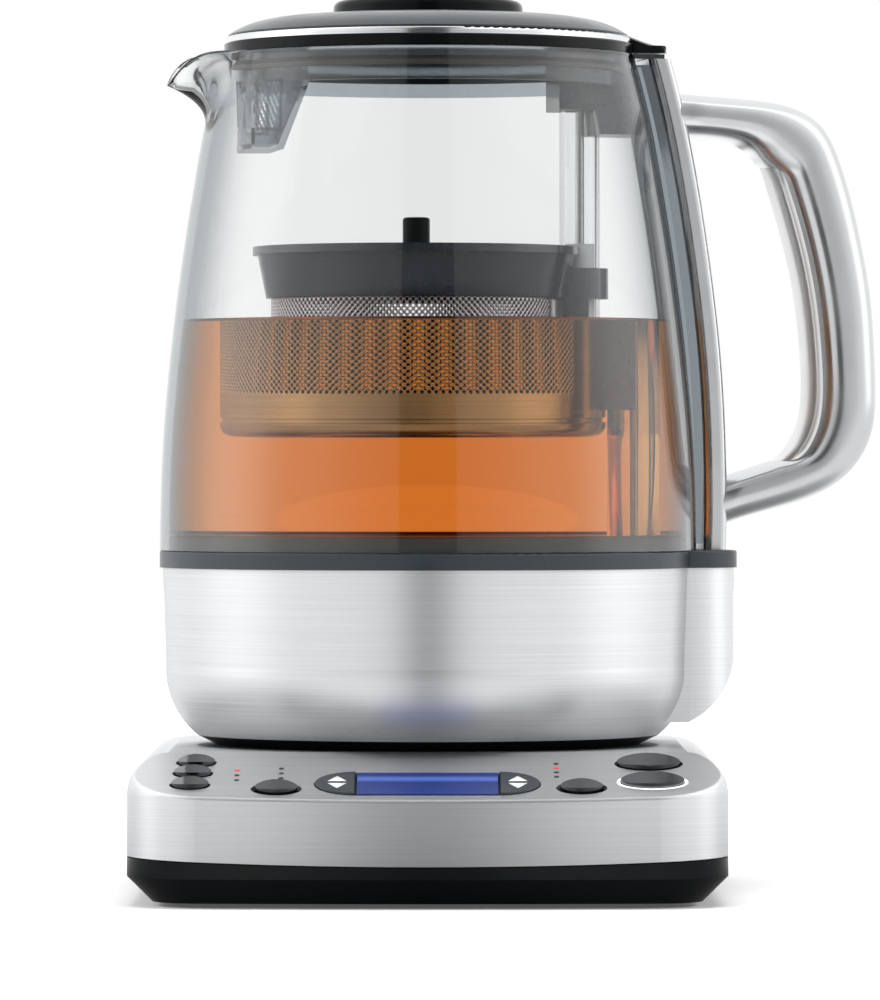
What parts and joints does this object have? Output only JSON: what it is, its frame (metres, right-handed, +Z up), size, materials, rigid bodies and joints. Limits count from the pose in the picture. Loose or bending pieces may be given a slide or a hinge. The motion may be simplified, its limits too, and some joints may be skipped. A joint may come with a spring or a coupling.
{
  "type": "automatic tea maker",
  "caption": "Glass tea jug on a powered steel base with a sloped control panel, and a perforated basket that rides up and down a clear post inside the jug.",
  "frame": {"origin": "the point on the counter under the jug's axis, at the middle of the foot ring", "axes": "+Z up; -Y is the front with the controls; +X is to the right of the controls, and the jug's handle points along +X, turned 10 degrees back"},
  "size_m": [0.2438, 0.2081, 0.29],
  "materials": {
    "brushed_steel": "horizontal brushed grain",
    "key_steel": "satin",
    "satin_metal": "satin",
    "handle_lining": "satin",
    "black_plastic": "fine satin",
    "charcoal_plastic": "semi gloss",
    "grey_plastic": "smooth, slightly translucent",
    "foot_rubber": "matte",
    "clear_silicone": "soft satin",
    "clear_glass": "clear",
    "clear_tube": "clear",
    "strainer_steel": "polished, perforated",
    "plate_steel": "fine",
    "circuit_board": "varnished",
    "switch_plastic": "moulded",
    "display_blue": "lit blue screen",
    "lamp_white": "diffuse",
    "contact_brass": "bright",
    "motor_metal": "zinc grey"
  },
  "bodies": {
    "base": {"base_cover": "brushed_steel", "base_tray": "black_plastic", "foot_ring": "foot_rubber", "base_fasteners": "plate_steel", "control_frame": "black_plastic", "control_board": "circuit_board", "tact_switches": "switch_plastic", "display_module": "switch_plastic", "display_window": "display_blue", "indicator_lights": "lamp_white", "brew_ring": "lamp_white", "rocker_pins": "plate_steel", "connector_socket": "black_plastic", "power_board": "circuit_board", "power_parts": "switch_plastic", "cord_gland": "foot_rubber"},
    "coupling": {"connector_core": "black_plastic", "core_contacts": "contact_brass"},
    "jug": {"jug_base_shell": "brushed_steel", "jug_bottom_cover": "black_plastic", "jug_connector": "black_plastic", "jug_collar": "charcoal_plastic", "heating_plate": "plate_steel", "glass_seal": "clear_silicone", "heating_element": "plate_steel", "thermostat": "switch_plastic", "lift_motor": "motor_metal", "post_seal": "clear_silicone", "lift_post": "clear_tube", "jug_glass": "clear_glass", "strap": "satin_metal", "strap_pad": "clear_silicone", "handle_shell": "satin_metal", "handle_insert": "handle_lining", "handle_screws": "plate_steel", "post_bracket": "grey_plastic"},
    "screw": {"lead_screw": "plate_steel", "shaft_coupling": "contact_brass"},
    "carriage": {"magnet_carriage": "motor_metal"},
    "basket": {"basket_cylinder": "strainer_steel", "basket_collar": "grey_plastic", "basket_magnet": "motor_metal", "basket_lid": "charcoal_plastic", "basket_pin": "black_plastic"},
    "lid": {"lid_skirt": "grey_plastic", "spout_filter": "strainer_steel", "lid_seal": "clear_silicone", "lid_rim": "black_plastic", "lid_trim_ring": "brushed_steel", "lid_cover": "charcoal_plastic", "lid_knob": "black_plastic"},
    "timer_button": {"timer_button": "key_steel"},
    "warm_button": {"warm_button": "key_steel"},
    "basket_button": {"basket_button": "key_steel"},
    "tea_type_button": {"tea_type_button": "key_steel"},
    "strength_button": {"strength_button": "key_steel"},
    "water_button": {"water_button": "key_steel"},
    "brew_button": {"brew_button": "key_steel"},
    "rocker_left": {"rocker_left": "charcoal_plastic"},
    "rocker_right": {"rocker_right": "charcoal_plastic"}
  },
  "joints": [
    {"name": "jug_swivel", "type": "hinge", "parent": "base", "child": "coupling", "pos_m": [0, 0, 0.05], "axis": [0, 0, 1], "continuous": true},
    {"name": "jug_lift", "type": "slide", "parent": "coupling", "child": "jug", "axis": [0, 0, 1], "range_m": [0, 0.06]},
    {"name": "lid_lift", "type": "slide", "parent": "jug", "child": "lid", "axis": [0, 0, 1], "range_m": [0, 0.06]},
    {"name": "basket_travel", "type": "slide", "parent": "jug", "child": "basket", "axis": [0, 0, 1], "range_m": [-0.028, 0.029]},
    {"name": "carriage_travel", "type": "slide", "parent": "jug", "child": "carriage", "axis": [0, 0, 1], "range_m": [-0.028, 0.029]},
    {"name": "screw_turn", "type": "hinge", "parent": "jug", "child": "screw", "pos_m": [0.04983, 0.00879, 0.1], "axis": [0, 0, 1], "range_deg": [-860, 890]},
    {"name": "timer_button_press", "type": "slide", "parent": "base", "child": "timer_button", "axis": [0, 0.3007, -0.9537], "range_m": [0, 0.001], "stiffness_N_per_m": 1500},
    {"name": "warm_button_press", "type": "slide", "parent": "base", "child": "warm_button", "axis": [0, 0.3007, -0.9537], "range_m": [0, 0.001], "stiffness_N_per_m": 1500},
    {"name": "basket_button_press", "type": "slide", "parent": "base", "child": "basket_button", "axis": [0, 0.3007, -0.9537], "range_m": [0, 0.001], "stiffness_N_per_m": 1500},
    {"name": "tea_type_button_press", "type": "slide", "parent": "base", "child": "tea_type_button", "axis": [0, 0.3007, -0.9537], "range_m": [0, 0.001], "stiffness_N_per_m": 1500},
    {"name": "strength_button_press", "type": "slide", "parent": "base", "child": "strength_button", "axis": [0, 0.3007, -0.9537], "range_m": [0, 0.001], "stiffness_N_per_m": 1500},
    {"name": "water_button_press", "type": "slide", "parent": "base", "child": "water_button", "axis": [0, 0.3007, -0.9537], "range_m": [0, 0.001], "stiffness_N_per_m": 1500},
    {"name": "brew_button_press", "type": "slide", "parent": "base", "child": "brew_button", "axis": [0, 0.3007, -0.9537], "range_m": [0, 0.001], "stiffness_N_per_m": 1500},
    {"name": "rocker_left_tilt", "type": "hinge", "parent": "base", "child": "rocker_left", "pos_m": [-0.02771, -0.0984, 0.03351], "axis": [1, 0, 0], "range_deg": [-2.5, 2.5], "stiffness_Nm_per_rad": 0.3},
    {"name": "rocker_right_tilt", "type": "hinge", "parent": "base", "child": "rocker_right", "pos_m": [0.02771, -0.0984, 0.03351], "axis": [1, 0, 0], "range_deg": [-2.5, 2.5], "stiffness_Nm_per_rad": 0.3}
  ],
  "couplings": [
    {"joint": "carriage_travel", "follows": "basket_travel", "ratio": 1},
    {"joint": "screw_turn", "follows": "basket_travel", "rad_per_m": 523.6}
  ]
}
